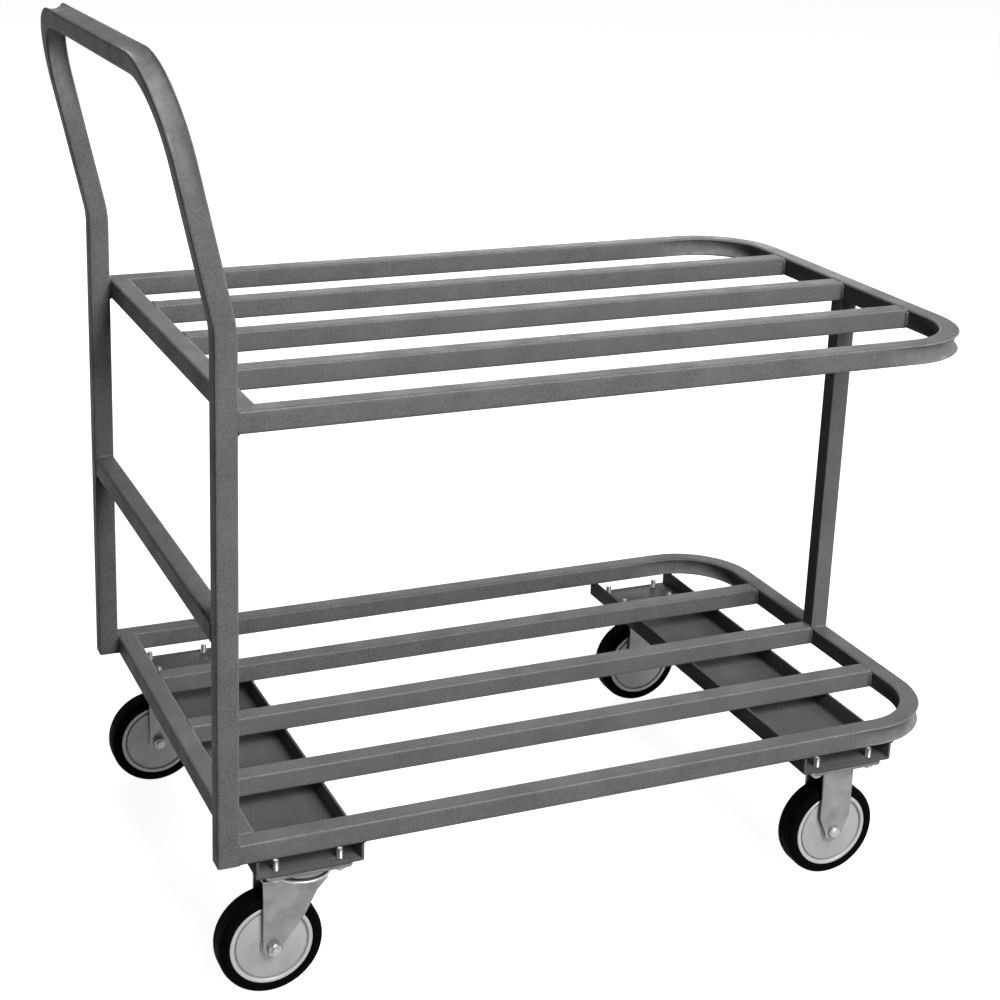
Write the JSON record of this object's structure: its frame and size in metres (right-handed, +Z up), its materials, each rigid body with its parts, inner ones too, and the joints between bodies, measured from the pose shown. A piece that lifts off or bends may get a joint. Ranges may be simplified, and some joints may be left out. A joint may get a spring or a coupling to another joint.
{
  "type": "platform trolley",
  "caption": "Two-deck stock cart of bent square tube with a tall push handle, two fixed nose casters and two swivel casters.",
  "frame": {"origin": "on the floor under the middle of the bounding box", "axes": "+X towards the nose, +Y towards the left side, +Z up"},
  "size_m": [1.0538, 0.6096, 1.0943],
  "materials": {
    "frame_paint": "satin grey enamel",
    "channel_paint": "satin grey enamel",
    "zinc_pressing": "dull zinc plate",
    "zinc_fastener": "bright zinc plate",
    "wheel_disc": "grey coated disc",
    "tyre_rubber": "matt black rubber",
    "plug": "dark grey plastic"
  },
  "bodies": {
    "frame": {"cross_brace": "frame_paint", "handle_frame": "frame_paint", "lower_end_rail": "frame_paint", "lower_rim": "frame_paint", "lower_slat_1": "frame_paint", "lower_slat_2": "frame_paint", "lower_slat_3": "frame_paint", "nose_channel": "channel_paint", "nose_left_axle_bolt": "zinc_fastener", "nose_left_axle_nut": "zinc_fastener", "nose_left_bush": "zinc_fastener", "nose_left_fork": "zinc_pressing", "nose_left_plate_nuts": "zinc_fastener", "nose_left_plate_studs": "zinc_fastener", "nose_left_top_plate": "zinc_pressing", "nose_post": "frame_paint", "nose_right_axle_bolt": "zinc_fastener", "nose_right_axle_nut": "zinc_fastener", "nose_right_bush": "zinc_fastener", "nose_right_fork": "zinc_pressing", "nose_right_plate_nuts": "zinc_fastener", "nose_right_plate_studs": "zinc_fastener", "nose_right_top_plate": "zinc_pressing", "rear_channel": "channel_paint", "rear_left_balls": "zinc_fastener", "rear_left_kingpin": "zinc_fastener", "rear_left_plate_nuts": "zinc_fastener", "rear_left_plate_studs": "zinc_fastener", "rear_left_race": "zinc_pressing", "rear_left_top_plate": "zinc_pressing", "rear_right_balls": "zinc_fastener", "rear_right_kingpin": "zinc_fastener", "rear_right_plate_nuts": "zinc_fastener", "rear_right_plate_studs": "zinc_fastener", "rear_right_race": "zinc_pressing", "rear_right_top_plate": "zinc_pressing", "upper_end_rail": "frame_paint", "upper_rim": "frame_paint", "upper_slat_1": "frame_paint", "upper_slat_2": "frame_paint", "upper_slat_3": "frame_paint", "upright_plug_left": "plug", "upright_plug_right": "plug"},
    "rear_left_wheel": {"rear_left_wheel_disc": "wheel_disc", "rear_left_tyre": "tyre_rubber"},
    "rear_right_wheel": {"rear_right_wheel_disc": "wheel_disc", "rear_right_tyre": "tyre_rubber"},
    "nose_left_wheel": {"nose_left_wheel_disc": "wheel_disc", "nose_left_tyre": "tyre_rubber"},
    "nose_right_wheel": {"nose_right_wheel_disc": "wheel_disc", "nose_right_tyre": "tyre_rubber"},
    "rear_left_swivel": {"rear_left_fork": "zinc_pressing", "rear_left_axle_bolt": "zinc_fastener", "rear_left_axle_nut": "zinc_fastener", "rear_left_bush": "zinc_fastener"},
    "rear_right_swivel": {"rear_right_fork": "zinc_pressing", "rear_right_axle_bolt": "zinc_fastener", "rear_right_axle_nut": "zinc_fastener", "rear_right_bush": "zinc_fastener"}
  },
  "joints": [
    {"name": "rear_left_swivel_turn", "type": "hinge", "parent": "frame", "child": "rear_left_swivel", "pos_m": [-0.35265, 0.264, 0.14], "axis": [0, 0, 1], "continuous": true},
    {"name": "rear_left_wheel_roll", "type": "hinge", "parent": "rear_left_swivel", "child": "rear_left_wheel", "pos_m": [-0.39265, 0.264, 0.0635], "axis": [0, 1, 0], "continuous": true},
    {"name": "rear_right_swivel_turn", "type": "hinge", "parent": "frame", "child": "rear_right_swivel", "pos_m": [-0.35265, -0.264, 0.14], "axis": [0, 0, 1], "continuous": true},
    {"name": "rear_right_wheel_roll", "type": "hinge", "parent": "rear_right_swivel", "child": "rear_right_wheel", "pos_m": [-0.39265, -0.264, 0.0635], "axis": [0, 1, 0], "continuous": true},
    {"name": "nose_left_wheel_roll", "type": "hinge", "parent": "frame", "child": "nose_left_wheel", "pos_m": [0.37225, 0.264, 0.0635], "axis": [0, 1, 0], "continuous": true},
    {"name": "nose_right_wheel_roll", "type": "hinge", "parent": "frame", "child": "nose_right_wheel", "pos_m": [0.37225, -0.264, 0.0635], "axis": [0, 1, 0], "continuous": true}
  ]
}
